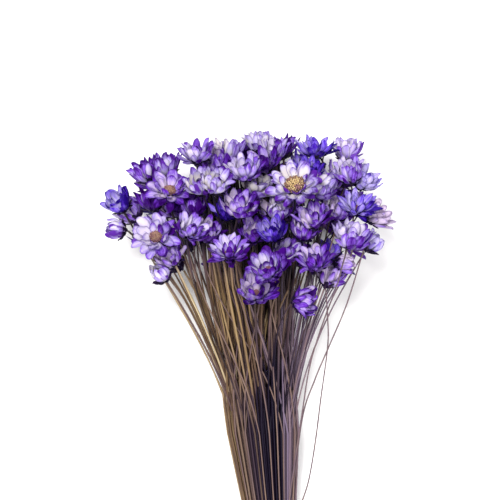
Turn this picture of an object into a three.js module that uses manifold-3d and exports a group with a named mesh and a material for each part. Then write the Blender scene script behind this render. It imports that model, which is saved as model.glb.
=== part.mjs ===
// A bunch of dried, violet-dyed daisies, tied with twine and laid on its side. The heads lie towards +Y,
// the stems run down to their cut ends at -Y, and the bunch rests on Z = 0. Lengths are millimetres.
// Places are given from the middle of the dome of heads, with the height above the surface.

import * as THREE from "three";
import { mergeVertices } from "three/addons/utils/BufferGeometryUtils.js";
import Module from "manifold-3d";

const wasm = await Module();
wasm.setup();

// Driving dimensions
const STEM_END = -163; // where the stems are cut off
const TIE_AT = -120; // the middle of the twine
const TIE_HALF = 2.8; // half the stretch that the twine holds straight
const LEAVE_AT = -84; // where the outermost stems start to leave the bundle
const NECK_AT = -34; // where the stems part from one another
const DOME_HALF_WIDTH = 56;
const DOME_CROWN = 34; // how far the dome reaches from its middle, away from the stems
const DOME_FOOT = 42; // and towards them
const DOME_FRONT = 32;
const DOME_BACK = 33;
const DOME_MIDDLE = 36; // above the surface
const LOWEST = 5.8; // the middle of a head that lies on the surface
const SINK_STEP = 10; // a head pushed in by 1 sits this much deeper
const STEM_THICK = 1.1;
const STEM_STEPS = 6;
const STEM_LOOK = 0.02; // the share of a stem between two looks at whether it is packed
const BENDING_ROUNDS = 40;
const PASSING = 2.4; // the room that a stem keeps to a head that it passes
const SEAT_GAP = 0.3; // between a stem's top and its head, and between the twine and the stems
const PETAL_THICK = 0.9;

// The bundle of stems is an elliptical cone that widens both ways from the twine. The rates are for each
// millimetre from the twine towards the heads, and spread is for each millimetre towards the cut ends.
const BUNDLE = {
  across: 8.2,
  height: 10.26,
  halfWidth: 11.4,
  halfDepth: 10,
  lean: -0.085,
  rise: 0.2,
  widen: 0.135,
  deepen: 0.09,
  spread: 0.06,
};
const WAIST = 0.93; // what the twine leaves of the bundle's size
const RIBS = 28; // stems on the skin of the packed bundle
const INSIDE = 0.78; // the share of the bundle's size that is surely packed with stems

const TWINE_THICK = 1.7;
const TWINE_TURNS = 3;
const TURN_STEP = 1.5; // less than the twine's thickness, as it is pulled tight

// The forms of head: petals in each of two rings, their length and width, the lean from the head's axis of
// the lower and upper halves of the outer and of the inner ones, the heights of the disc and of the head's
// middle, and the half sizes of the room that the head takes, across its axis and along it.
const FORMS = {
  bud: {
    petals: 5, long: 7.4, wide: 4.6, outer: [32, -26], inner: [20, -24],
    disc: 3, middle: 4.8, room: [4.2, 5],
  },
  cup: {
    petals: 5, long: 8.8, wide: 5, outer: [46, 8], inner: [28, 2],
    disc: 3.6, middle: 5.4, room: [6, 5],
  },
  bowl: {
    petals: 6, long: 8.8, wide: 5.2, outer: [58, 26], inner: [38, 14],
    disc: 4, middle: 5, room: [7.1, 4.5],
  },
  open: {
    petals: 7, long: 8.4, wide: 5, outer: [78, 60], inner: [56, 38],
    disc: 4.4, middle: 3.8, room: [9.2, 3.6],
  },
  star: {
    petals: 7, long: 8.2, wide: 4.2, outer: [68, 40], inner: [44, 24],
    disc: 4, middle: 4.5, room: [7.5, 4.2],
  },
};
const INNER_LENGTH = 0.84; // the inner petals' share of the outer ones' length
const INNER_WIDTH = 0.75; // and of their width
const BEND_AT = 0.55; // how far along its length a petal bends

// The heads that show from the front, from the crown down. A row is one piece: a head, or two or three
// that have grown tucked into one another. A head is: across, along, how far pushed in, the way it points
// in the picture (degrees, 90 is away from the stems), how far it turns to the front, form and dye.
const FRONT_ROWS = [
  [
    [3.2, 32, 2, 92, 8, "cup", "pale"],
    [8.8, 29.6, 0.8, 85, 25, "cup", "lilac"],
    [14.4, 31.2, 1.8, 96, 8, "cup", "violet"],
  ],
  [[25.2, 29.6, 0, 88, 15, "star", "blue"]],
  [[38.8, 28.8, 0.4, 84, 10, "cup", "lilac"]],
  [
    [-8.4, 29.2, 1.6, 88, 10, "cup", "pale"],
    [-14.4, 25.6, 1, 76, 30, "cup", "violet"],
  ],
  [[-21.2, 28, 0, 94, 25, "bowl", "lilac"]],
  [
    [-34, 22.8, 0.2, 95, 20, "cup", "pale"],
    [-41.2, 21.2, 0, 114, 15, "cup", "lilac"],
  ],
  [
    [5.2, 24.4, 0.4, 118, 35, "bowl", "violet"],
    [1.8, 15.2, 0.8, 50, 30, "bowl", "pale"],
  ],
  [
    [-1.6, 20.4, 0, 92, 36, "bowl", "lilac"],
    [-6.4, 19, 0.7, 96, 35, "cup", "violet"],
  ],
  [
    [23.6, 21.2, 1.2, 75, 30, "cup", "blue"],
    [32.4, 16.4, 1, 90, 30, "cup", "pale"],
  ],
  [
    [38.8, 20.4, 0, 100, 32, "cup", "lilac"],
    [45.6, 17.2, 0, 50, 25, "bowl", "blue"],
  ],
  [[17.6, 15.6, 0, 100, 52, "open", "pale"]],
  [[27.2, 12.4, 0.7, 45, 42, "cup", "pale"]],
  [
    [-30.4, 14, 0, 82, 50, "open", "violet"],
    [-22, 6.4, 1.8, 96, 30, "cup", "violet"],
  ],
  [
    [-20.8, 15.2, 0.3, 104, 42, "cup", "pale"],
    [-13.2, 16.4, 0, 78, 40, "cup", "pale"],
  ],
  [[-51.6, 8.4, 0, 119, 30, "cup", "blue"]],
  [
    [-40, 10, 0.7, 104, 25, "cup", "violet"],
    [-30, 6.8, 1.3, 110, 35, "bowl", "violet"],
  ],
  [
    [-3.2, 7.6, 0, 73, 26, "bowl", "violet"],
    [-10.4, 4, 1.7, 104, 35, "cup", "blue"],
  ],
  [
    [7.6, 7.2, 1, 110, 40, "cup", "violet"],
    [11.2, 3.6, 0.2, 70, 50, "bud", "pale"],
    [16.4, 5.6, 0.5, 104, 60, "bud", "violet"],
  ],
  [
    [25.6, 4.4, 0, 102, 32, "bowl", "violet"],
    [19.6, -3.2, 1.6, 80, 30, "cup", "violet"],
  ],
  [
    [34.6, 6, 0.9, 84, 30, "bowl", "violet"],
    [42.4, 6.8, 0, 72, 30, "star", "blue"],
  ],
  [[49.6, 2.8, 0.4, 38, 15, "bowl", "violet"]],
  [[-53.2, -1.6, 0, 176, 20, "bud", "pale"]],
  [[-35.6, -4.4, 0, 100, 66, "open", "lilac"]],
  [
    [-24, -2.4, 0.4, 62, 36, "bowl", "lilac"],
    [-15.6, -1, 0.9, 62, 40, "cup", "violet"],
  ],
  [
    [10, -1.6, 0.6, 104, 40, "cup", "blue"],
    [0.8, -2.8, 0.5, 92, 50, "cup", "violet"],
  ],
  [[39.6, -5.2, 0, 72, 26, "bowl", "lilac"]],
  [[49.2, -6, 0.6, 44, 15, "bud", "blue"]],
  [[-8.4, -10.4, 0, 98, 38, "star", "lilac"]],
  [
    [-32, -12.4, 1, 122, 40, "cup", "violet"],
    [-35.2, -19.2, 0.2, 126, 35, "bud", "pale"],
  ],
  [[14.8, -9.6, 0.6, 66, 40, "cup", "lilac"]],
  [[7.2, -17.2, 0, 96, 52, "bowl", "lilac"]],
  [[25.6, -14, 0, 98, 40, "bowl", "violet"]],
  [
    [37.6, -15, 1, 88, -18, "bud", "violet"],
    [31.6, -20.6, 1, 64, 10, "cup", "violet"],
  ],
  [[2.4, -26.4, 0, 82, 52, "bowl", "violet"]],
  [[21.2, -30.4, 0, 6, 22, "cup", "violet"]],
];

// The heads behind them follow a rule: golden-angle steps over the back of the dome.
const BACK_HEADS = 23;
const BACK_WIDE = 0.86; // the share of the dome's width that they spread over
const BACK_LONG = 0.74; // and of its reach at the crown
const GOLDEN_ANGLE = 137.508;
const BACK_FORMS = ["bowl", "cup", "open", "cup", "bud", "bowl", "star", "cup"];
const BACK_DYES = ["violet", "lilac", "blue", "violet", "pale", "violet"];

// How heads settle beside one another: the share of their room that two keep, in two pieces and in one,
// and how strongly each is drawn back to its place in the picture.
const ROOM_BETWEEN = 1.13;
const ROOM_WITHIN = 0.78;
const DRAW_BACK = 0.12;
const SETTLING_ROUNDS = 60;

const DYES = { violet: "#6b4fc0", lilac: "#a08fe0", blue: "#4431b0", pale: "#d3cbe9" };
const UP = new THREE.Vector3(0, 0, 1);
const ALONG = new THREE.Vector3(0, 1, 0);
const ACROSS = new THREE.Vector3(1, 0, 0);
const radians = THREE.MathUtils.degToRad;

// Seeded draws from 0 to 1, so that every build is the same.
function drawsFrom(seed) {
  let state = seed;
  return () => {
    state = (state * 16807) % 2147483647;
    return state / 2147483647;
  };
}

// How high the dome's surface stands over a place in its outline.
function domeHeight(across, along) {
  const out = (across / DOME_HALF_WIDTH) ** 2 + (along / (along > 0 ? DOME_CROWN : DOME_FOOT)) ** 2;
  return DOME_FRONT * Math.sqrt(Math.max(0, 1 - out));
}

function frontHead([across, along, sink, point, face, form, dye], row) {
  const height = DOME_MIDDLE + domeHeight(across, along) - sink * SINK_STEP;
  const flat = Math.cos(radians(face));
  const axis = new THREE.Vector3(
    flat * Math.cos(radians(point)),
    flat * Math.sin(radians(point)),
    Math.sin(radians(face)),
  );
  return { middle: new THREE.Vector3(across, along, height), axis, form: FORMS[form], dye, row };
}

// The back heads spread over a flattened ellipse, deeper with each step, and point away from the stems and
// down.
function backHead(k) {
  const down = (k + 0.5) / BACK_HEADS;
  const round = Math.sqrt(1 - 0.9 * down * down);
  const angle = radians(k * GOLDEN_ANGLE + 40);
  const across = BACK_WIDE * DOME_HALF_WIDTH * round * Math.cos(angle);
  const along = BACK_LONG * DOME_CROWN * round * Math.sin(angle) + 4;
  const height = Math.max(LOWEST, DOME_MIDDLE - DOME_BACK * down);
  const axis = new THREE.Vector3(0.018 * across, 0.75 + 0.02 * along, -0.55 * down).normalize();
  const form = FORMS[BACK_FORMS[k % BACK_FORMS.length]];
  const dye = BACK_DYES[k % BACK_DYES.length];
  const middle = new THREE.Vector3(across, along, height);
  return { middle, axis, form, dye, row: FRONT_ROWS.length + k };
}

// Heads that stand too near push each other apart, mostly in depth, and those of one piece draw together
// until they just cross.
function settle(heads) {
  const halfSize = ({ axis, form }, way) => {
    const along = axis.dot(way);
    return Math.hypot(form.room[0] * Math.sqrt(1 - along * along), form.room[1] * along);
  };
  const places = heads.map((head) => head.middle.clone());
  for (let round = 0; round < SETTLING_ROUNDS; round++) {
    heads.forEach((a, i) => {
      a.middle.x += DRAW_BACK * (places[i].x - a.middle.x);
      a.middle.y += DRAW_BACK * (places[i].y - a.middle.y);
      a.middle.z = Math.max(a.middle.z, LOWEST);
      heads.slice(i + 1).forEach((b) => {
        const way = b.middle.clone().sub(a.middle);
        const apart = way.length();
        way.normalize();
        const together = a.row === b.row;
        const room = (together ? ROOM_WITHIN : ROOM_BETWEEN) * (halfSize(a, way) + halfSize(b, way));
        if (together || apart < room) {
          a.middle.addScaledVector(way, (apart - room) / 4);
          b.middle.addScaledVector(way, (room - apart) / 4);
        }
      });
    });
  }
  heads.forEach((head, k) => {
    head.base = head.middle.clone().addScaledVector(head.axis, -head.form.middle);
    head.turn = radians(k * GOLDEN_ANGLE);
  });
  return heads;
}

// A head is one closed surface. From its foot it runs out over the backs of the outer petals, over their
// edges, in over their faces, up the inner petals, which stand between the outer ones, and across the
// disc.
function headSolid({ base, axis, form, turn }) {
  const half = Math.PI / form.petals;
  const foot = { radius: 2.2, height: 2.3 };
  const rim = { radius: 1.7, height: 2.9 };
  const points = [];
  const faces = [];
  const add = (angle, radius, height, aside = 0) =>
    points.push([
      radius * Math.cos(angle) - aside * Math.sin(angle),
      radius * Math.sin(angle) + aside * Math.cos(angle),
      height,
    ]) - 1;

  // A petal's two edge points, its tip, and the keel on its back that gives it thickness.
  const petal = (angle, start, long, wide, [low, high]) => {
    const [a, b] = [radians(low), radians(high)];
    const radius = start.radius + BEND_AT * long * Math.sin(a);
    const height = start.height + BEND_AT * long * Math.cos(a);
    const tipRadius = Math.max(0.5, radius + (1 - BEND_AT) * long * Math.sin(b));
    return {
      left: add(angle, radius, height, -wide / 2),
      right: add(angle, radius, height, wide / 2),
      tip: add(angle, tipRadius, height + (1 - BEND_AT) * long * Math.cos(b)),
      keel: add(angle, radius + PETAL_THICK * Math.cos(a), height - PETAL_THICK * Math.sin(a)),
    };
  };

  const stalk = add(0, 0, 0);
  const crown = add(0, 0, form.disc);
  const valleys = [];
  const seats = [];
  for (let i = 0; i < form.petals; i++) {
    valleys.push(add((2 * i + 1) * half, foot.radius, foot.height));
    seats.push(add(2 * i * half, rim.radius, rim.height));
  }
  for (let i = 0; i < form.petals; i++) {
    const before = valleys[(i + form.petals - 1) % form.petals];
    const [valley, seat, nextSeat] = [valleys[i], seats[i], seats[(i + 1) % form.petals]];
    const o = petal(2 * i * half, foot, form.long, form.wide, form.outer);
    faces.push(
      [o.keel, stalk, valley],
      [o.keel, valley, o.right],
      [o.keel, o.right, o.tip],
      [o.keel, o.tip, o.left],
      [o.keel, o.left, before],
      [o.keel, before, stalk],
      [o.left, o.tip, o.right],
      [before, o.left, o.right],
      [before, o.right, valley],
      [before, valley, seat],
    );
    const n = petal((2 * i + 1) * half, rim, INNER_LENGTH * form.long, INNER_WIDTH * form.wide, form.inner);
    faces.push(
      [n.keel, seat, valley],
      [n.keel, valley, nextSeat],
      [n.keel, nextSeat, n.right],
      [n.keel, n.right, n.tip],
      [n.keel, n.tip, n.left],
      [n.keel, n.left, seat],
      [n.left, n.tip, n.right],
      [seat, n.left, n.right],
      [seat, n.right, nextSeat],
      [seat, nextSeat, crown],
    );
  }

  const upright = new THREE.Quaternion().setFromUnitVectors(UP, axis);
  const place = new THREE.Matrix4().compose(base, upright, new THREE.Vector3(1, 1, 1));
  place.multiply(new THREE.Matrix4().makeRotationZ(turn));
  const placed = points.map((p) => new THREE.Vector3(...p).applyMatrix4(place).toArray());
  return solidFrom(placed.flat(), faces.flat());
}

function solidFrom(positions, indices) {
  const vertProperties = new Float32Array(positions);
  const triVerts = new Uint32Array(indices);
  return new wasm.Manifold(new wasm.Mesh({ numProp: 3, vertProperties, triVerts }));
}

function boxSolid(size, centre) {
  const geometry = new THREE.BoxGeometry(...size).translate(...centre);
  geometry.deleteAttribute("normal");
  geometry.deleteAttribute("uv");
  const merged = mergeVertices(geometry, 1e-4);
  return solidFrom(merged.attributes.position.array, merged.index.array);
}

// A section with this many corners round it.
function roundSection(thick, sides) {
  return Array.from({ length: sides }, (_, s) => {
    const a = (2 * Math.PI * s) / sides + Math.PI / 2;
    return [(Math.cos(a) * thick) / 2, (Math.sin(a) * thick) / 2];
  });
}

// A section swept through the points, closed at its ends or, where it is a loop, on itself. The reference
// is any direction that the points never run along.
function sweptSolid(points, section, reference, loop = false) {
  const count = points.length;
  const sides = section.length;
  const positions = [];
  const indices = [];
  points.forEach((p, i) => {
    const before = points[loop ? (i + count - 1) % count : Math.max(i - 1, 0)];
    const after = points[loop ? (i + 1) % count : Math.min(i + 1, count - 1)];
    const way = after.clone().sub(before).normalize();
    const side = new THREE.Vector3().crossVectors(reference, way).normalize();
    const rise = new THREE.Vector3().crossVectors(way, side);
    for (const [x, y] of section) {
      positions.push(...p.clone().addScaledVector(side, x).addScaledVector(rise, y).toArray());
    }
  });
  const joins = loop ? count : count - 1;
  for (let i = 0; i < joins; i++) {
    for (let s = 0; s < sides; s++) {
      const [a, b] = [i * sides + s, i * sides + ((s + 1) % sides)];
      const [c, d] = [((i + 1) % count) * sides + s, ((i + 1) % count) * sides + ((s + 1) % sides)];
      indices.push(a, b, d, a, d, c);
    }
  }
  for (let s = 1; !loop && s < sides - 1; s++) {
    const last = (count - 1) * sides;
    indices.push(0, s + 1, s, last, last + s, last + s + 1);
  }
  return solidFrom(positions, indices);
}

// The middle and half sizes of the bundle of stems at a place along it.
function bundleAt(along) {
  const up = Math.max(0, along - TIE_AT - TIE_HALF);
  const down = Math.max(0, TIE_AT - TIE_HALF - along);
  return {
    across: BUNDLE.across + BUNDLE.lean * (up - 0.4 * down),
    height: BUNDLE.height + BUNDLE.rise * up,
    halfWidth: BUNDLE.halfWidth + BUNDLE.widen * up + BUNDLE.spread * down,
    halfDepth: BUNDLE.halfDepth + BUNDLE.deepen * up,
  };
}

function inBundle(along, u, v) {
  const b = bundleAt(along);
  return new THREE.Vector3(b.across + u * b.halfWidth, along, b.height + v * b.halfDepth);
}

// A stem keeps its place in the bundle and then curves out to its head: the further out the head, the
// nearer to the bundle's skin its stem lies.
function stemCurve(head) {
  const below = NECK_AT - 40;
  const out = head.base.clone().sub(inBundle(below, 0, 0));
  const aside = new THREE.Vector2(out.x - BUNDLE.lean * out.y, out.z - BUNDLE.rise * out.y);
  aside.setLength(Math.min(INSIDE - 0.02, Math.sqrt(aside.length() / out.length())));
  const start = inBundle(LEAVE_AT, aside.x, aside.y);
  const span = head.base.distanceTo(start);
  const chord = head.base.clone().sub(inBundle(below, aside.x, aside.y)).normalize();
  const end = chord.lerp(head.axis, 0.45).normalize();
  const top = head.base.clone().addScaledVector(end, -SEAT_GAP);
  return new THREE.CubicBezierCurve3(
    start,
    inBundle(LEAVE_AT + 0.36 * span, aside.x, aside.y),
    top.clone().addScaledVector(end, -0.26 * span),
    top,
  );
}

// The points of a stem from where it leaves the packed bundle, bent clear of the heads that it passes.
function stemPoints(head) {
  const curve = stemCurve(head);
  const packed = (t) => {
    const p = curve.getPoint(t);
    const b = bundleAt(p.y);
    const share = Math.hypot((p.x - b.across) / b.halfWidth, (p.z - b.height) / b.halfDepth);
    return share < INSIDE && p.y < NECK_AT - 8;
  };
  let from = 0;
  while (packed(from + STEM_LOOK)) from += STEM_LOOK;
  const points = [];
  for (let i = 0; i <= STEM_STEPS; i++) points.push(curve.getPoint(from + ((1 - from) * i) / STEM_STEPS));
  const passed = heads.filter((other) => other !== head);
  for (let round = 0; round < BENDING_ROUNDS; round++) {
    for (let i = 1; i < STEM_STEPS; i++) {
      const p = points[i];
      p.lerp(points[i - 1].clone().add(points[i + 1]).divideScalar(2), 0.1);
      for (const { middle, axis, form } of passed) {
        const out = p.clone().sub(middle);
        const along = out.dot(axis);
        const aside = out.addScaledVector(axis, -along);
        const [wide, long] = [form.room[0] + PASSING, form.room[1] + PASSING];
        const depth = Math.hypot(aside.length() / wide, along / long);
        if (depth < 1) p.addScaledVector(aside.normalize(), (1 - depth) * form.room[0] * 0.4);
      }
    }
  }
  return points;
}

// The packed bundle, ribbed with the stems on its skin and closed by a low dome at the neck. A ring is:
// where it is, and its share of the bundle's size.
function packedSolid() {
  const rings = [
    [STEM_END, 0.97],
    [TIE_AT - 7, 0.97],
    [TIE_AT - TIE_HALF, WAIST],
    [TIE_AT + TIE_HALF, WAIST],
    [TIE_AT + 7, 0.97],
    [NECK_AT - 14, 0.93],
    [NECK_AT - 5, 0.76],
    [NECK_AT, 0.42],
  ];
  const draw = drawsFrom(11);
  const around = 2 * RIBS;
  const skin = Array.from({ length: around }, (_, s) => (s % 2 ? 1 - 0.04 * draw() : 0.89));
  const positions = [];
  const indices = [];
  rings.forEach(([along, share], i) => {
    skin.forEach((rib, s) => {
      const a = (2 * Math.PI * s) / around;
      positions.push(...inBundle(along, share * rib * Math.cos(a), share * rib * Math.sin(a)).toArray());
    });
    for (let s = 0; i > 0 && s < around; s++) {
      const [a, b] = [(i - 1) * around + s, (i - 1) * around + ((s + 1) % around)];
      indices.push(a, a + around, b + around, a, b + around, b);
    }
  });
  const bottom = positions.length / 3;
  const last = (rings.length - 1) * around;
  positions.push(...inBundle(STEM_END, 0, 0).toArray(), ...inBundle(NECK_AT + 3, 0, 0).toArray());
  for (let s = 0; s < around; s++) {
    const next = (s + 1) % around;
    indices.push(bottom, s, next, bottom + 1, last + next, last + s);
  }
  return solidFrom(positions, indices);
}

// Turns of twine pulled tight side by side, knotted on the front with two cut tails.
function twineSolid() {
  const { across, height, halfWidth, halfDepth } = bundleAt(TIE_AT);
  const inner = 0.3 * TWINE_THICK;
  const half = (TWINE_TURNS * TURN_STEP) / 2;

  // The turns' section, each point out from the bundle and along it, bulging once for each turn.
  const turns = [[-inner, -half], [0, -half - 0.2]];
  for (let k = 0; k < TWINE_TURNS; k++) {
    const middle = (k + 0.5) * TURN_STEP - half;
    turns.push([0.7, middle - 0.45], [TWINE_THICK / 2, middle], [0.7, middle + 0.45]);
    if (k < TWINE_TURNS - 1) turns.push([0.35, middle + TURN_STEP / 2]);
  }
  turns.push([0, half + 0.2], [-inner, half]);
  const clear = SEAT_GAP + inner;
  const [wide, deep] = [WAIST * halfWidth + clear, WAIST * halfDepth + clear];
  const steps = 24;
  const round = [];
  for (let i = 0; i < steps; i++) {
    const a = (2 * Math.PI * i) / steps;
    round.push(new THREE.Vector3(across + wide * Math.cos(a), TIE_AT, height + deep * Math.sin(a)));
  }

  // Places on the knot are: across, along and above the turns' middle.
  const cord = (thick, reference, ...places) => {
    const points = places.map(([x, y, z]) => new THREE.Vector3(across + x, TIE_AT + y, height + deep + z));
    return sweptSolid(new THREE.CatmullRomCurve3(points).getPoints(8), roundSection(thick, 6), reference);
  };
  const tail = 0.8 * TWINE_THICK;
  return wasm.Manifold.union([
    sweptSolid(round, turns, ALONG, true),
    cord(TWINE_THICK, ACROSS, [-0.6, -2.7, -0.1], [-0.5, -1.6, 1.2], [0.5, 1.6, 1.2], [0.6, 2.7, -0.1]),
    cord(tail, UP, [-1.2, 0.8, 1.2], [1.6, 0.3, 2], [3.4, -4, 1], [3.8, -9, 0.7], [3, -13, 0.9]),
    cord(tail, UP, [1.2, -0.8, 1.2], [-1.6, 0.6, 2], [-3.6, 4, 1], [-3.4, 8.4, 0.9]),
  ]);
}

function meshOf(name, solid, colour, roughness) {
  const { vertProperties, triVerts } = solid.getMesh();
  const geometry = new THREE.BufferGeometry();
  geometry.setAttribute("position", new THREE.BufferAttribute(vertProperties, 3));
  geometry.setIndex(new THREE.BufferAttribute(triVerts, 1));
  geometry.computeVertexNormals();
  const material = new THREE.MeshStandardMaterial({ color: colour, roughness, metalness: 0 });
  const mesh = new THREE.Mesh(geometry, material);
  mesh.name = name;
  return mesh;
}

const frontHeads = FRONT_ROWS.flatMap((row, r) => row.map((head) => frontHead(head, r)));
const backHeads = Array.from({ length: BACK_HEADS }, (_, k) => backHead(k));
const heads = settle([...frontHeads, ...backHeads]);
const routes = new Map(heads.map((head) => [head, stemPoints(head)]));
const stemSolid = (head, thick) => sweptSolid(routes.get(head), roundSection(thick, 3), UP);
const stemSolids = new Map(heads.map((head) => [head, stemSolid(head, STEM_THICK)]));

// A petal gives way to the stem of another head that passes through it.
function headAmongStems(head) {
  const whole = headSolid(head);
  const crosses = (other) => other !== head && whole.intersect(stemSolids.get(other)).volume() > 0;
  const ways = heads.filter(crosses).map((other) => stemSolid(other, STEM_THICK + 2 * SEAT_GAP));
  const cut = wasm.Manifold.difference([whole, ...ways]);
  return cut.decompose().reduce((a, b) => (a.volume() > b.volume() ? a : b));
}

// What would dip below the surface is pressed flat on it.
const surface = boxSolid([400, 500, 20], [0, -60, -10]);
const bunch = new THREE.Group();
for (let row = 0; row < FRONT_ROWS.length + BACK_HEADS; row++) {
  const own = heads.filter((head) => head.row === row);
  const solid = wasm.Manifold.union(own.map(headAmongStems)).subtract(surface);
  const number = String(row + 1).padStart(2, "0");
  bunch.add(meshOf(`bloom_${number}`, solid, DYES[own[0].dye], 0.8));
}
const stems = wasm.Manifold.union([packedSolid(), ...stemSolids.values()]);
bunch.add(meshOf("stems", stems, "#7d7242", 0.85));
bunch.add(meshOf("twine", twineSolid().subtract(surface), "#b79b6c", 0.9));

// The origin is the middle of the bunch's footprint, on the surface.
const box = new THREE.Box3().setFromObject(bunch);
const centre = box.getCenter(new THREE.Vector3());
bunch.position.set(-centre.x, -centre.y, -box.min.z);
const group = new THREE.Group();
group.add(bunch);

export default group;
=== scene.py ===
"""A bunch of dried, violet-dyed daisies, tied with twine and laid on its side, dressed around its part."""

import math
import random
from types import SimpleNamespace

import bpy
import numpy as np
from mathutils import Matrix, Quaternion, Vector


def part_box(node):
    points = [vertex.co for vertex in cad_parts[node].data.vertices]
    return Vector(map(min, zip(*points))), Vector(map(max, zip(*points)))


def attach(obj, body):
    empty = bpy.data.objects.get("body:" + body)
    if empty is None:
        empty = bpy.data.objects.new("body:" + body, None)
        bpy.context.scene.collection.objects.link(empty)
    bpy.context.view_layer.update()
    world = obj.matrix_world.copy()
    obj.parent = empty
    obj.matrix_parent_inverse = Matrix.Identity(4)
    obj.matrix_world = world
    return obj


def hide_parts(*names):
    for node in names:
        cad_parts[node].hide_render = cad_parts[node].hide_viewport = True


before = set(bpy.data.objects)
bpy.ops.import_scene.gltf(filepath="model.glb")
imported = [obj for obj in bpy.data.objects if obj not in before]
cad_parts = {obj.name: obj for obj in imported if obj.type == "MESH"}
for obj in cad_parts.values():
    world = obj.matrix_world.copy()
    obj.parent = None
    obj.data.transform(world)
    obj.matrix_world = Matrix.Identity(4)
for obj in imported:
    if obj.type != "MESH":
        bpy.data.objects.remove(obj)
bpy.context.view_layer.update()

# Where the heads sit
# The bunch was gathered by hand, so each head has found a place beside its neighbours on a dome. The places
# are the part's own: millimetres from the dome's middle, with the height above the surface.

MM = 0.001
STEM_END = -163
TIE_AT = -120
TIE_ACROSS = 8.2
DOME_HALF_WIDTH = 56
DOME_CROWN = 34
DOME_FOOT = 42
DOME_FRONT = 32
DOME_BACK = 33
DOME_MIDDLE = 36
LOWEST = 5.8
SINK_STEP = 10

# Each form of head: its petals' length and width, the lean from the head's axis of the lower and upper part
# of the outer and of the inner ones, the heights of the disc and of the head's middle, the half sizes of
# its room, how pointed its petals are, the disc's radius, how far the inner petals still fold over it, and
# how many more petals each ring has than a cup's.
FORMS = {
    "bud": SimpleNamespace(
        long=7.4, wide=4.6, outer=(32, -26), inner=(20, -24),
        disc=3, middle=4.8, room=(4.2, 5), pointed=0.2, face=1.2, folded=0, more=-1,
    ),
    "cup": SimpleNamespace(
        long=8.8, wide=5, outer=(46, 8), inner=(28, 2),
        disc=3.6, middle=5.4, room=(6, 5), pointed=0.15, face=1.6, folded=1, more=0,
    ),
    "goblet": SimpleNamespace(
        long=8.6, wide=7.4, outer=(50, 0), inner=(38, -4),
        disc=3.6, middle=5.4, room=(6, 5), pointed=0, face=1.6, folded=0.1, more=-2,
    ),
    "bowl": SimpleNamespace(
        long=8.8, wide=5.2, outer=(58, 26), inner=(38, 14),
        disc=4, middle=5, room=(7.1, 4.5), pointed=0.15, face=1.8, folded=0.9, more=0,
    ),
    "wide bowl": SimpleNamespace(
        long=10, wide=6.8, outer=(60, 24), inner=(44, 6),
        disc=4, middle=5, room=(7.1, 4.5), pointed=0.35, face=1.7, folded=0.35, more=0,
    ),
    "open": SimpleNamespace(
        long=8.6, wide=6.6, outer=(78, 58), inner=(46, 14),
        disc=4, middle=3.8, room=(9.2, 3.6), pointed=0.1, face=2.4, folded=0, more=0,
    ),
    "star": SimpleNamespace(
        long=9, wide=5, outer=(68, 44), inner=(44, 24),
        disc=4, middle=4.5, room=(7.5, 4.2), pointed=0.8, face=1.7, folded=0.6, more=0,
    ),
}

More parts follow.
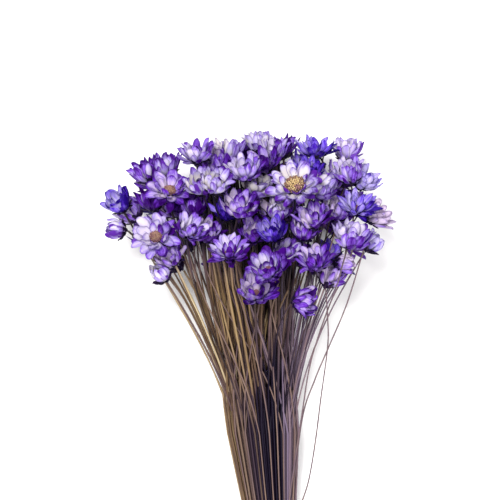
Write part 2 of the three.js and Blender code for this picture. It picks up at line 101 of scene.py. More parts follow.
# The heads that show from the front. A row is one piece. A head is: across, along, how far pushed in, the
# way it points in the picture, how far it turns to the front, its form, and its dye with words from TAKEN.
FRONT_ROWS = [
    [
        (3.2, 32, 2, 92, 8, "cup", "washed pale"),
        (8.8, 29.6, 0.8, 85, 25, "cup", "faded lilac"),
        (14.4, 31.2, 1.8, 96, 8, "cup", "violet"),
    ],
    [(25.2, 29.6, 0, 88, 15, "star", "blue")],
    [(38.8, 28.8, 0.4, 84, 10, "cup", "washed lilac")],
    [
        (-8.4, 29.2, 1.6, 88, 10, "cup", "faded pale"),
        (-14.4, 25.6, 1, 76, 30, "cup", "faded violet"),
    ],
    [(-21.2, 28, 0, 94, 25, "bowl", "lilac")],
    [
        (-34, 22.8, 0.2, 95, 20, "cup", "tipped pale"),
        (-41.2, 21.2, 0, 114, 15, "cup", "lilac"),
    ],
    [
        (5.2, 24.4, 0.4, 118, 35, "bowl", "violet"),
        (-0.4, 14.4, 0.3, 56, 30, "wide bowl", "washed pale"),
    ],
    [
        (-1.6, 20.4, 0, 92, 36, "bowl", "lilac"),
        (-6.4, 19, 0.7, 96, 35, "cup", "violet"),
    ],
    [
        (23.6, 21.2, 0.5, 75, 30, "cup", "blue"),
        (32.4, 16.4, 1, 90, 30, "cup", "pale"),
    ],
    [
        (38.8, 20.4, 0, 100, 32, "cup", "faded lilac"),
        (45.6, 17.2, 0, 50, 25, "bowl", "bleached blue"),
    ],
    [(17.6, 15.6, 0, 100, 52, "open", "tipped pale")],
    [(27.2, 12.4, 0.7, 45, 42, "cup", "pale")],
    [
        (-30.4, 14, 0, 82, 50, "open", "violet"),
        (-22, 6.4, 1.8, 96, 30, "cup", "violet"),
    ],
    [
        (-20.8, 15.2, 0.3, 104, 42, "cup", "tipped pale"),
        (-13.2, 16.4, 0, 78, 40, "cup", "washed tipped pale"),
    ],
    [(-51.6, 8.4, 0, 119, 30, "goblet", "blue")],
    [
        (-40, 10, 0.7, 104, 25, "cup", "deep violet"),
        (-30, 6.8, 1.3, 110, 35, "bowl", "violet"),
    ],
    [
        (-3.2, 6.4, 0, 80, 30, "wide bowl", "washed tipped violet"),
        (-10.4, 4, 1.7, 104, 35, "cup", "blue"),
    ],
    [
        (7.6, 7.2, 1, 110, 40, "cup", "violet"),
        (11.2, 3.6, 0.2, 70, 50, "bud", "pale"),
        (16.4, 5.6, 0.5, 104, 60, "bud", "violet"),
    ],
    [
        (25.6, 4.4, 0, 102, 32, "bowl", "deep violet"),
        (19.6, -3.2, 1.6, 80, 30, "cup", "violet"),
    ],
    [
        (34.6, 6, 0.9, 84, 30, "bowl", "violet"),
        (42.4, 6.8, 0, 72, 30, "star", "blue"),
    ],
    [(49.6, 2.8, 0.4, 38, 15, "bowl", "bleached violet")],
    [(-53.2, -1.6, 0, 176, 20, "bud", "faded tipped pale")],
    [(-35.6, -4.4, 0, 100, 66, "open", "faded lilac")],
    [
        (-24, -2.4, 0.4, 62, 36, "bowl", "lilac"),
        (-15.6, -1, 0.9, 62, 40, "cup", "violet"),
    ],
    [
        (10, -1.6, 0.6, 104, 40, "cup", "blue"),
        (0.8, -2.8, 0.5, 92, 50, "cup", "deep violet"),
    ],
    [(39.6, -5.2, 0, 72, 26, "wide bowl", "faded lilac")],
    [(49.2, -6, 0.6, 44, 15, "bud", "bleached blue")],
    [(-8.4, -10.4, 0, 98, 38, "star", "lilac")],
    [
        (-32, -12.4, 0.5, 122, 40, "cup", "bleached violet"),
        (-35.2, -19.2, 0.2, 126, 35, "bud", "washed tipped pale"),
    ],
    [(14.8, -9.6, 0.6, 66, 40, "cup", "lilac")],
    [(7.2, -17.2, 0, 96, 52, "wide bowl", "tipped lilac")],
    [(25.6, -14, 0, 98, 40, "bowl", "violet")],
    [
        (37.6, -15, 1, -10, 12, "bud", "washed violet"),
        (31.6, -20.6, 1, 64, 10, "cup", "washed tipped violet"),
    ],
    [(2.4, -26.4, 0, 82, 52, "wide bowl", "violet")],
    [(21.2, -30.4, 0, 6, 22, "cup", "violet")],
]

# The heads behind them follow a rule: golden-angle steps over the back of the dome.
BACK_HEADS = 23
BACK_WIDE = 0.86
BACK_LONG = 0.74
GOLDEN_ANGLE = 137.508
BACK_FORMS = ["bowl", "cup", "open", "cup", "bud", "bowl", "star", "cup"]
BACK_DYES = ["violet", "lilac", "blue", "violet", "pale", "violet"]
# What the words before a dye say: how much more of it than usual the head has, and how much more its tips
# have than its feet.
TAKEN = {
    "bleached": (-0.8, 0),
    "washed": (-0.5, 0),
    "faded": (-0.25, 0),
    "deep": (0.2, 0),
    "tipped": (0, 1.3),
}
SUNK_PAINTED_SHADE = 0.25  # painted shade: how much deeper the heads that lie deep in the bunch, out of the light, are coloured
ROOM_BETWEEN = 1.13
ROOM_WITHIN = 0.78
DRAW_BACK = 0.12
SETTLING_ROUNDS = 60
NEIGHBOURS_WITHIN = 24


def front_head(place, row):
    across, along, sink, point, face, form, dye = place
    out = (across / DOME_HALF_WIDTH) ** 2 + (along / (DOME_CROWN if along > 0 else DOME_FOOT)) ** 2
    height = DOME_MIDDLE + DOME_FRONT * math.sqrt(max(0, 1 - out)) - sink * SINK_STEP
    flat, point, up = math.cos(math.radians(face)), math.radians(point), math.sin(math.radians(face))
    axis = Vector((flat * math.cos(point), flat * math.sin(point), up))
    *taken, dye = dye.split()
    # A head pushed in more than one step is given painted shade: a deeper dye, for lying out of the light.
    return SimpleNamespace(
        middle=Vector((across, along, height)), axis=axis, form=FORMS[form],
        dye=dye, depth=sum(TAKEN[word][0] for word in taken) + SUNK_PAINTED_SHADE * max(0, sink - 1),
        tipped=sum(TAKEN[word][1] for word in taken), row=row,
    )


def back_head(k):
    down = (k + 0.5) / BACK_HEADS
    wide = math.sqrt(1 - 0.9 * down * down)
    angle = math.radians(k * GOLDEN_ANGLE + 40)
    across = BACK_WIDE * DOME_HALF_WIDTH * wide * math.cos(angle)
    along = BACK_LONG * DOME_CROWN * wide * math.sin(angle) + 4
    middle = Vector((across, along, max(LOWEST, DOME_MIDDLE - DOME_BACK * down)))
    axis = Vector((0.018 * across, 0.75 + 0.02 * along, -0.55 * down)).normalized()
    form = FORMS[BACK_FORMS[k % len(BACK_FORMS)]]
    dye = BACK_DYES[k % len(BACK_DYES)]
    # The back heads all get the painted shade of a sunk head: a deeper dye, for lying out of the light.
    return SimpleNamespace(
        middle=middle, axis=axis, form=form, dye=dye, depth=SUNK_PAINTED_SHADE, tipped=0, row=len(FRONT_ROWS) + k
    )


def half_size(head, way):
    along = head.axis.dot(way)
    across = math.sqrt(max(0, 1 - along * along))
    return math.hypot(head.form.room[0] * across, head.form.room[1] * along)


def settle(heads):
    """Heads that stand too near push each other apart, and those of one piece draw together."""
    places = [head.middle.copy() for head in heads]
    for _ in range(SETTLING_ROUNDS):
        for i, a in enumerate(heads):
            a.middle.x += DRAW_BACK * (places[i].x - a.middle.x)
            a.middle.y += DRAW_BACK * (places[i].y - a.middle.y)
            a.middle.z = max(a.middle.z, LOWEST)
            for b in heads[i + 1 :]:
                way = b.middle - a.middle
                apart = way.length
                together = a.row == b.row
                if apart > NEIGHBOURS_WITHIN and not together:
                    continue
                way.normalize()
                room = (ROOM_WITHIN if together else ROOM_BETWEEN) * (half_size(a, way) + half_size(b, way))
                if together or apart < room:
                    a.middle += way * ((apart - room) / 4)
                    b.middle += way * ((room - apart) / 4)
    for k, head in enumerate(heads):
        head.base = head.middle - head.axis * head.form.middle
        head.turn = math.radians(k * GOLDEN_ANGLE)
        head.number = k
    return heads


heads = settle(
    [front_head(place, r) for r, row in enumerate(FRONT_ROWS) for place in row]
    + [back_head(k) for k in range(BACK_HEADS)]
)

# The part stands on the middle of its footprint, which its stems' ends and its twine's middle give back.
stems_low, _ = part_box("stems")
twine_low, twine_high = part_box("twine")
bunch_at = np.array([(twine_low.x + twine_high.x) / 2 - TIE_ACROSS * MM, stems_low.y - STEM_END * MM, 0])


# The flower heads
# Small star daisies: rings of stiff papery bracts, which pass for petals, round a disc of tiny florets, on
# a cup of dark scales. They were dyed while fresh, so that the colour ran in along the veins, and then
# air-dried.

PETAL_STEPS = 9  # along a petal
PETAL_COLUMNS = 4  # and across it
PETAL_THICK = 0.16
SCALE_STEPS = 5
SCALE_COLUMNS = 2
PRESSED_FLAT = 0.08  # how near the surface a petal under the bunch lies

# Rings of petals, from the outside in. A ring is: its share of the way from the outer petals' lean to the
# inner ones', petals, share of the length and of the width, where it starts, out from the axis and up it,
# how much deeper its dye is than the head's, and how many degrees it folds in at its foot and tip.
PETAL_RINGS = [
    (-0.25, 7, 0.82, 0.62, 1.9, 1.5, 0.36, (0, 0)),
    (0.05, 8, 1.0, 0.68, 2.2, 2.1, 0.12, (0, 0)),
    (0.42, 7, 0.97, 0.7, 2.1, 2.5, -0.12, (0, 4)),
    (0.8, 6, 0.86, 0.68, 1.9, 2.8, -0.12, (7, 22)),
    (1.15, 5, 0.66, 0.62, 1.5, 3.0, 0.24, (16, 48)),
]
RIPE_DISC = 1.7  # how much broader the disc of a ripe open head has spread
RIPE_SHORTER = 0.92  # and how far its petals have drawn in
OUTER_DYE_AND_SHADE = 0.3  # how much deeper the outer side of a petal is coloured: partly dye, partly painted shade
PAINTED_FOOT_SHADE = (0.3, 1.9)  # and painted shade at its foot, where it meets the cup, from a little to much, head by head
LIT_SIDE_PALER = 0.34  # painted light: how much paler the petals are on the side of a head towards the main lamp, and deeper on the far side
# The way towards the main lamp, seen from the bunch.
TOWARDS_MAIN_LAMP = Vector((-0.7, 0.6, 0.3))
BLEACHED_AT = (-52, -40, -20, 10, 45)  # millimetres across the bunch
BLEACHED_BY = (0.05, -0.08, 0, 0, 0.22)  # and how much of the dye the heads there have lost
TONE_SPREAD = 0.14
PALEST = -0.35  # the tone of a petal that has lost all its dye; the deepest have 1
ODD_PETALS = 0.14  # the share that took up far more or far less dye than their neighbours
DROOPING = 0.07  # the share of petals that have come loose
DROOP = 38  # and how far out they hang, in degrees

# Rows of scales on the cup below them: scales, length, width, start out and up, and leans from the axis.
SCALE_ROWS = [
    (6, 2.4, 1.3, 0.6, 0.4, (64, 40)),
    (8, 3.2, 1.6, 1.1, 0.9, (66, 46)),
    (9, 4.2, 1.9, 1.6, 1.4, (68, 50)),
]
CUP_SIDES = 12
FLORETS = 75
FLORET_SIDES = 5
UNRIPE_DISC = 1.9  # a disc no broader than this is unripe all over
RIPENING = 1.2  # and it is ripe when it has spread by this much more
STAIN_OUT, STAIN_SIZE, STAIN_DEPTH = 0.4, 0.3, 0.8  # the spot on a disc where the dye has run in


class Piece:
    """Points and faces for one piece. Each point has its place in a pattern: across, along, tone, fade."""

    def __init__(self):
        self.points, self.faces, self.materials, self.patterns = [], [], [], []
        self.count = 0

    def add(self, points, faces, material, pattern):
        self.points.append(points)
        self.faces += [[corner + self.count for corner in face] for face in faces]
        self.materials += [material] * len(faces)
        self.patterns.append(pattern)
        self.count += len(points)

    def made(self, name, materials):
        """The finished object, in metres in the frame, with its edges kept crisp and its faces smooth."""
        points = np.concatenate(self.points)
        points[:, 2] = np.maximum(points[:, 2], PRESSED_FLAT)
        mesh = bpy.data.meshes.new(name)
        mesh.from_pydata((points * MM + bunch_at).tolist(), [], self.faces)
        pattern = np.concatenate(self.patterns)
        corners = np.empty(len(mesh.loops), int)
        mesh.loops.foreach_get("vertex_index", corners)
        grain = mesh.uv_layers.new(name="grain").data
        grain.foreach_set("uv", pattern[corners, :2].astype(np.float32).ravel())
        for column, label in ((2, "tone"), (3, "fade")):
            values = mesh.attributes.new(label, "FLOAT", "POINT").data
            values.foreach_set("value", pattern[:, column].astype(np.float32))
        for material in materials:
            mesh.materials.append(material)
        mesh.polygons.foreach_set("material_index", self.materials)
        mesh.shade_smooth()
        mesh.set_sharp_from_angle(angle=math.radians(75))
        made = bpy.data.objects.new(name, mesh)
        bpy.context.scene.collection.objects.link(made)
        return made


def sheet_faces(steps, columns):
    """The faces of a thin closed sheet: an inner side, and an outer side that shares its rim."""
    front = np.arange((steps + 1) * (columns + 1)).reshape(steps + 1, columns + 1)
    back = front.copy()
    inner = np.arange((steps - 1) * (columns - 1)).reshape(steps - 1, columns - 1)
    back[1:-1, 1:-1] = inner + front.size
    faces = []
    for i in range(steps):
        for j in range(columns):
            faces.append([front[i, j], front[i + 1, j], front[i + 1, j + 1], front[i, j + 1]])
            faces.append([back[i, j], back[i, j + 1], back[i + 1, j + 1], back[i + 1, j]])
    return np.array(faces).tolist()


PETAL_FACES = sheet_faces(PETAL_STEPS, PETAL_COLUMNS)
SCALE_FACES = sheet_faces(SCALE_STEPS, SCALE_COLUMNS)


def petal_points(steps, columns, petal):
    """The points of one petal that stands over the X axis, and their places across and along it."""
    t = np.sin(np.linspace(0, math.pi / 2, steps + 1)) ** 1.15
    s = np.linspace(-1, 1, columns + 1)
    blend = np.clip((t - 0.2) / 0.65, 0, 1)
    lean = petal.low + (petal.high - petal.low) * blend**2 * (3 - 2 * blend) + petal.curl * t**3
    lean = np.radians(lean)
    step = np.diff(t, prepend=0) * petal.long
    middle_lean = (lean + np.concatenate([lean[:1], lean[:-1]])) / 2
    out = petal.out + np.cumsum(step * np.sin(middle_lean))
    up = petal.up + np.cumsum(step * np.cos(middle_lean))

    # The outline swells to its widest past the middle and closes to a rounded or pointed tip.
    swell = 0.42 + 0.58 * np.sin(np.clip(t / 0.66, 0, 1) * math.pi / 2)
    past = np.clip((t - 0.58) / 0.42, 0, 1)
    close = (1 - past**2.2) ** (0.42 + 0.6 * petal.pointed)
    half = petal.wide / 2 * np.maximum(swell * close, 0.05)

    # It is hollow like a boat, with a crease down its middle, and its rim waves a little.
    grid_s, grid_half = s[None, :], half[:, None]
    hollow = petal.cup * (0.55 + 0.45 * np.sin(np.pi * t))[:, None] * grid_s**2
    wave = petal.wave * np.sin(2 * np.pi * (1.6 * t[:, None] + petal.phase)) * np.abs(grid_s) ** 3
    lift = grid_half * (hollow + wave) - 0.1 * (1 - np.abs(grid_s)) * np.sin(np.pi * t)[:, None]
    side = grid_s * grid_half * (1 - 0.18 * petal.cup)
    roll = np.radians(petal.roll * t)[:, None]
    across = side * np.cos(roll) - lift * np.sin(roll) + petal.sway * (t**2)[:, None]
    lift = lift * np.cos(roll) + side * np.sin(roll)
    sin, cos = np.sin(lean)[:, None], np.cos(lean)[:, None]
    thick = PETAL_THICK * (1 - grid_s**2) * np.sin(np.pi * np.clip(t, 0.04, 0.96))[:, None]
    front = np.stack([out[:, None] - cos * lift, across + 0 * lift, up[:, None] + sin * lift], axis=-1)
    behind = front + np.stack([cos * thick, 0 * thick, -sin * thick], axis=-1)
    points = np.concatenate([front.reshape(-1, 3), behind[1:-1, 1:-1].reshape(-1, 3)])
    place = np.stack(np.broadcast_arrays(grid_s / 2 + 0.5, t[:, None]), axis=-1)
    places = np.concatenate([place.reshape(-1, 2), place[1:-1, 1:-1].reshape(-1, 2)])
    return points, places


def turned(points, angle):
    cos, sin = math.cos(angle), math.sin(angle)
    return points @ np.array([[cos, sin, 0], [-sin, cos, 0], [0, 0, 1]])


def add_petals(piece, placed, ring, material, steps, columns, faces, draw):
    """A ring of petals, each a little different from the next."""
    for k in range(ring.petals):
        petal = SimpleNamespace(
            out=ring.out,
            up=ring.up,
            long=ring.long * draw.uniform(0.86, 1.08),
            wide=ring.wide * draw.uniform(0.82, 1.14),
            low=ring.low + draw.gauss(0, 5),
            high=ring.high + draw.gauss(0, 10) + (DROOP if draw.random() < DROOPING else 0),
            curl=ring.curl + draw.gauss(0, 12),
            cup=draw.uniform(0.32, 0.7),
            roll=draw.gauss(0, 18),
            sway=draw.gauss(0, 0.6),
            wave=draw.uniform(0.04, 0.26),
            phase=draw.random(),
            pointed=min(1, max(0, ring.pointed + draw.gauss(0.05, 0.28))),
        )
        points, places = petal_points(steps, columns, petal)
        angle = 2 * math.pi * (k + ring.shift) / ring.petals + draw.gauss(0, 0.1)
        pattern = np.empty((len(points), 4))
        pattern[:, :2] = places
        odd_and_lit = draw.choice((-0.4, 0.35)) if draw.random() < ODD_PETALS else 0
        # Painted light: petals on the side of the head towards the main lamp are paler, and those on the far
        # side deeper.
        odd_and_lit -= LIT_SIDE_PALER * math.cos(angle - ring.pale_side)
        pattern[:, 2] = min(1, max(PALEST, ring.tone + odd_and_lit + draw.gauss(0, TONE_SPREAD)))
        pattern[:, 3] = ring.fade + ring.tipped * (0.5 - places[:, 1])
        # The outer side is coloured deeper, partly dye and partly painted shade, with more painted shade at
        # its foot.
        outer = (steps + 1) * (columns + 1)
        pattern[outer:, 3] -= OUTER_DYE_AND_SHADE + ring.foot * np.clip(1 - places[outer:, 1] / 0.5, 0, 1)
        piece.add(placed(turned(points, angle)), faces, material, pattern)


def add_cup(piece, placed, form, material):
    """The closed body that the petals grow from: stalk, cup and the dome under the florets."""
    disc, face = form.disc, form.face
    rings = [(0.5, 0), (0.6, 0.5), (1.3, 1), (2, 1.8), (2.3, 2.6)]
    rings += [(face + 0.1, disc - 0.5), (face * 0.75, disc - 0.1), (face * 0.4, disc + 0.15)]
    points = [(0, 0, 0)]
    faces = []
    for i, (radius, height) in enumerate(rings):
        for s in range(CUP_SIDES):
            angle = 2 * math.pi * s / CUP_SIDES
            points.append((radius * math.cos(angle), radius * math.sin(angle), height))
            a, b = 1 + i * CUP_SIDES + s, 1 + i * CUP_SIDES + (s + 1) % CUP_SIDES
            if i == 0:
                faces.append([0, b, a])
            else:
                faces.append([a - CUP_SIDES, b - CUP_SIDES, b, a])
    crown = len(points)
    points.append((0, 0, disc + 0.25))
    last = crown - CUP_SIDES
    faces += [[last + s, last + (s + 1) % CUP_SIDES, crown] for s in range(CUP_SIDES)]
    points = np.array(points, float)
    pattern = np.zeros((len(points), 4))
    pattern[:, 0] = np.arctan2(points[:, 1], points[:, 0]) / math.tau + 0.5
    pattern[:, 1] = points[:, 2] / disc
    piece.add(placed(points), faces, material, pattern)


def add_florets(piece, placed, form, material, draw):
    """Tiny closed florets set in the golden-angle spiral, standing taller towards the disc's edge."""
    rows = [(0.7, -0.35), (1, 0.2), (0.72, 0.62)]
    for k in range(FLORETS):
        share = math.sqrt((k + 0.5) / FLORETS)
        angle = math.radians(k * GOLDEN_ANGLE)
        out = share * form.face
        base = form.disc + 0.25 - 0.7 * share**3
        tall = (0.5 + 0.35 * share) * draw.uniform(0.6, 1.4)
        thick = 1.1 * form.face / math.sqrt(FLORETS) * draw.uniform(0.85, 1.1)
        tip = draw.gauss(0, 0.08) + 0.25 * share
        points = []
        for width, up in rows:
            for s in range(FLORET_SIDES):
                a = math.tau * s / FLORET_SIDES
                ahead, aside = thick * width * math.cos(a), thick * width * math.sin(a)
                points.append((out + tip * up + ahead, aside, base + tall * up))
        points.append((out + tip, 0, base + 0.8 * tall))
        faces = [[4, 3, 2, 1, 0]]
        for i in range(2):
            for s in range(FLORET_SIDES):
                a, b = i * FLORET_SIDES + s, i * FLORET_SIDES + (s + 1) % FLORET_SIDES
                faces.append([a, b, b + FLORET_SIDES, a + FLORET_SIDES])
        faces += [[10 + s, 10 + (s + 1) % FLORET_SIDES, 15] for s in range(FLORET_SIDES)]
        points = turned(np.array(points), angle)
        pattern = np.empty((len(points), 4))
        pattern[:, 0] = share
        pattern[:, 1] = [0.0] * 5 + [0.4] * 5 + [0.8] * 5 + [1]
        pattern[:, 2] = draw.random()
        stained = math.hypot(share * math.cos(angle) - STAIN_OUT, share * math.sin(angle)) < STAIN_SIZE
        unripe = 1 - min(1, max(0, (form.face - UNRIPE_DISC) / RIPENING))
        pattern[:, 3] = max(STAIN_DEPTH * stained, unripe)
        piece.add(placed(points), faces, material, pattern)


def linear(colour):
    """An sRGB hex colour as linear red, green, blue and alpha."""
    parts = [int(colour[i : i + 2], 16) / 255 for i in (1, 3, 5)]
    return [c / 12.92 if c <= 0.04045 else ((c + 0.055) / 1.055) ** 2.4 for c in parts] + [1]


def add_node(material, kind, inputs=(), stops=(), **settings):
    """Adds a node with its settings, the stops of its ramp, and its inputs' values or links."""
    made = material.node_tree.nodes.new(kind)
    for name, value in settings.items():
        setattr(made, name, value)
    for _ in stops[2:]:
        made.color_ramp.elements.new(0.5)
    for element, (place, colour) in zip(made.color_ramp.elements if stops else (), stops):
        element.position = place
        element.color = linear(colour)
    for name, value in dict(inputs).items():
        if isinstance(value, bpy.types.NodeSocket):
            material.node_tree.links.new(value, made.inputs[name])
        else:
            made.inputs[name].default_value = value
    return made


def new_material(name):
    material = bpy.data.materials.new(name)
    material.use_nodes = True
    material.node_tree.nodes.clear()
    return material


# Petal bract, dyed and air-dried: a papery sheet with a soft satin shine that glows where light comes
# through it. The dye is deepest at the rim and in the veins, and thin or creamy towards the foot. The
# rim's darkness is partly painted shade, and each petal's tone and fade carry painted light and shade too.
PETAL_DYES = {
    "violet": ("#d6c4de", "#b69ce2", "#7236c4", "#340364"),
    "lilac": ("#dcd2e6", "#c6b6e8", "#8c5cd8", "#460c80"),
    "blue": ("#c8bcea", "#9e86e4", "#5c32ce", "#220670"),
    "pale": ("#dcd4d4", "#d2cae4", "#a68edc", "#562294"),
}
VEIN_SPACING = 0.5  # millimetres; the real 0.2 would be too fine to show
PETAL_WIDTH = 2.9
PETAL_LENGTH = 9.5
BLOTCH = 3.5
DYE_BASE = -0.91  # what makes a middling petal pale at its foot


def dyed_petal(name, foot, body, tip, rim):
    material = new_material(f"dyed_dried_petal_{name}")
    place = add_node(material, "ShaderNodeUVMap", uv_map="grain").outputs["UV"]
    across, along = add_node(material, "ShaderNodeSeparateXYZ", {"Vector": place}).outputs[:2]
    tone = add_node(material, "ShaderNodeAttribute", attribute_name="tone").outputs["Fac"]
    fade = add_node(material, "ShaderNodeAttribute", attribute_name="fade").outputs["Fac"]
    spot = add_node(material, "ShaderNodeTexCoord").outputs["Object"]

    # Veins are noise drawn out along the petal, and each petal takes another part of it.
    vein_place = add_node(
        material, "ShaderNodeCombineXYZ", {"X": across, "Y": along, "Z": tone}
    ).outputs[0]
    vein_place = add_node(
        material,
        "ShaderNodeVectorMath",
        {0: vein_place, 1: (PETAL_WIDTH / VEIN_SPACING, PETAL_LENGTH / 6, 40)},
        operation="MULTIPLY",
    ).outputs[0]
    veins = add_node(
        material, "ShaderNodeTexNoise", {"Vector": vein_place, "Scale": 1, "Detail": 3, "Roughness": 0.6}
    ).outputs["Fac"]
    blotches = add_node(
        material, "ShaderNodeTexNoise", {"Vector": spot, "Scale": 1 / (BLOTCH * MM), "Detail": 2}
    ).outputs["Fac"]

    # How deep the dye is: more towards the tip and in the veins, less where it has faded. The tone and fade
    # also carry painted light and shade: paler on the side towards the main lamp, deeper in heads that lie
    # deep, on a petal's outer side and at its foot.
    depth = DYE_BASE
    for cause, weight in ((along, 0.6), (tone, 0.8), (veins, 1), (blotches, 0.6), (fade, -0.45)):
        depth = add_node(
            material, "ShaderNodeMath", {0: cause, 1: weight, 2: depth}, operation="MULTIPLY_ADD"
        ).outputs[0]
    colour = add_node(
        material,
        "ShaderNodeValToRGB",
        {"Fac": depth},
        stops=[(0.08, foot), (0.36, body), (0.7, tip), (1, rim)],
    ).outputs["Color"]

    # The rim and the tip are coloured deeper than the middle: partly the dye taken up there, partly painted
    # shade for the dark gaps between petals.
    aside = add_node(material, "ShaderNodeMath", {0: across, 1: 0.5}, operation="SUBTRACT").outputs[0]
    aside = add_node(material, "ShaderNodeMath", {0: aside}, operation="ABSOLUTE").outputs[0]
    edge = add_node(
        material, "ShaderNodeMapRange", {"Value": aside, "From Min": 0.36, "From Max": 0.5, "To Max": 0.7}
    ).outputs["Result"]
    point = add_node(
        material, "ShaderNodeMapRange", {"Value": along, "From Min": 0.88, "From Max": 1, "To Max": 0.7}
    ).outputs["Result"]
    edge = add_node(material, "ShaderNodeMath", {0: edge, 1: point}, operation="MAXIMUM").outputs[0]
    colour = add_node(
        material, "ShaderNodeMixRGB", {"Fac": edge, "Color1": colour, "Color2": linear(rim)}
    ).outputs["Color"]

    bump = add_node(
        material, "ShaderNodeBump", {"Height": veins, "Strength": 0.5, "Distance": 0.15 * MM}
    ).outputs["Normal"]
    sheet = add_node(
        material,
        "ShaderNodeBsdfPrincipled",
        {"Base Color": colour, "Roughness": 0.38, "Specular IOR Level": 0.12, "Normal": bump},
    ).outputs[0]
    glow = add_node(material, "ShaderNodeBsdfTranslucent", {"Color": colour, "Normal": bump}).outputs[0]
    mixed = add_node(material, "ShaderNodeMixShader", {"Fac": 0.22, 1: sheet, 2: glow}).outputs[0]
    add_node(material, "ShaderNodeOutputMaterial", {"Surface": mixed})
    return material


# Cup scale, dried: dull, with a few fine ribs, coloured near-black indigo: partly a leathery brown stained
# purple by the dye, partly painted shade under the petals.
def dried_scale():
    material = new_material("dried_cup_scale")
    spot = add_node(material, "ShaderNodeTexCoord").outputs["Object"]
    blotches = add_node(
        material, "ShaderNodeTexNoise", {"Vector": spot, "Scale": 1 / (1.2 * MM), "Detail": 3}
    ).outputs["Fac"]
    # Painted shade: the scales and the cup are coloured near-black, darker than their stained brown.
    colour = add_node(
        material,
        "ShaderNodeValToRGB",
        {"Fac": blotches},
        stops=[(0.3, "#0a0420"), (0.5, "#1a0a34"), (0.7, "#3a223a")],
    ).outputs["Color"]
    bump = add_node(
        material, "ShaderNodeBump", {"Height": blotches, "Strength": 0.4, "Distance": 0.1 * MM}
    ).outputs["Normal"]
    leather = add_node(
        material,
        "ShaderNodeBsdfPrincipled",
        {"Base Color": colour, "Roughness": 0.6, "Specular IOR Level": 0.15, "Normal": bump},
    ).outputs[0]
    add_node(material, "ShaderNodeOutputMaterial", {"Surface": leather})
    return material


# Disc floret, dried: tan-gold, chaffy and matt, with the outer ones browned. In a disc that isn't ripe, and
# where the dye has run in, they are a dusky brown-pink.
def dried_floret():
    material = new_material("dried_disc_floret")
    place = add_node(material, "ShaderNodeUVMap", uv_map="grain").outputs["UV"]
    out, up = add_node(material, "ShaderNodeSeparateXYZ", {"Vector": place}).outputs[:2]
    tone = add_node(material, "ShaderNodeAttribute", attribute_name="tone").outputs["Fac"]
    ring = add_node(
        material, "ShaderNodeMath", {0: tone, 1: 0.5, 2: out}, operation="MULTIPLY_ADD"
    ).outputs[0]
    colour = add_node(
        material,
        "ShaderNodeValToRGB",
        {"Fac": ring},
        stops=[(0.25, "#a28151"), (0.75, "#bba172"), (1, "#775646")],
    ).outputs["Color"]
    unripe = add_node(material, "ShaderNodeAttribute", attribute_name="fade").outputs["Fac"]
    colour = add_node(
        material, "ShaderNodeMixRGB", {"Fac": unripe, "Color1": colour, "Color2": linear("#80545c")}
    ).outputs["Color"]
    # Painted shade and highlight: each floret is darker at its foot, down among its neighbours, and a little
    # lighter at its top.
    shade = add_node(
        material, "ShaderNodeMapRange", {"Value": up, "To Min": 0.55, "To Max": 1.1}
    ).outputs["Result"]
    colour = add_node(
        material, "ShaderNodeMixRGB", {"Fac": 1, "Color1": colour, "Color2": shade}, blend_type="MULTIPLY"
    ).outputs["Color"]
    chaff = add_node(
        material, "ShaderNodeBsdfPrincipled", {"Base Color": colour, "Roughness": 0.75}
    ).outputs[0]
    add_node(material, "ShaderNodeOutputMaterial", {"Surface": chaff})
    return material


petal_materials = {name: dyed_petal(name, *colours) for name, colours in PETAL_DYES.items()}
scale_material = dried_scale()
floret_material = dried_floret()


def dress_head(piece, head, petal_slot, scale_slot, floret_slot):
    form = SimpleNamespace(**vars(head.form))
    if head.form is FORMS["open"] and head.dye == "pale":
        form.face *= RIPE_DISC
        form.long *= RIPE_SHORTER
    draw = random.Random(100 + head.number)
    spin = Vector((0, 0, 1)).rotation_difference(head.axis) @ Quaternion((0, 0, 1), head.turn)
    matrix = np.array(spin.to_matrix())
    base = np.array(head.base)

    def placed(points):
        return points @ matrix.T + base

    add_cup(piece, placed, form, scale_slot)
    bleached = np.interp(head.middle.x, BLEACHED_AT, BLEACHED_BY)
    head_tone = draw.gauss(0.42, 0.08) + head.depth - bleached
    # How much painted shade this head has at the foot of its petals' outer sides.
    foot = draw.uniform(*PAINTED_FOOT_SHADE)
    # The side of the head towards the main lamp, where its petals are painted paler.
    towards_main_lamp = spin.inverted() @ TOWARDS_MAIN_LAMP
    pale_side = math.atan2(towards_main_lamp.y, towards_main_lamp.x) + draw.gauss(0, 0.5)
    head_fade = draw.uniform(0, 0.55)
    for i, (share, petals, long, wide, out, up, deeper, fold) in enumerate(PETAL_RINGS):
        low, high = ((1 - share) * a + share * b for a, b in zip(form.outer, form.inner))
        ring = SimpleNamespace(
            petals=petals + form.more,
            shift=0.5 * (i % 2),
            long=long * form.long,
            wide=wide * form.wide,
            low=min(low, 84) - form.folded * fold[0],
            high=high - form.folded * fold[1],
            curl=8 if i < 2 else -4,
            out=max(out, form.face - 0.3 + 0.1 * (4 - i)),
            up=up,
            pointed=form.pointed,
            tone=head_tone + deeper,
            pale_side=pale_side,
            foot=foot,
            fade=head_fade * (0.3 + 0.23 * i),
            tipped=head.tipped,
        )
        add_petals(piece, placed, ring, petal_slot, PETAL_STEPS, PETAL_COLUMNS, PETAL_FACES, draw)
    for scales, long, wide, out, up, (low, high) in SCALE_ROWS:
        row = SimpleNamespace(
            petals=scales, shift=draw.random(), long=long, wide=wide, low=low, high=high, curl=0,
            out=out, up=up, pointed=1, tone=0.5, fade=0, tipped=0, pale_side=0, foot=0,
        )
        add_petals(piece, placed, row, scale_slot, SCALE_STEPS, SCALE_COLUMNS, SCALE_FACES, draw)
    add_florets(piece, placed, form, floret_slot, draw)


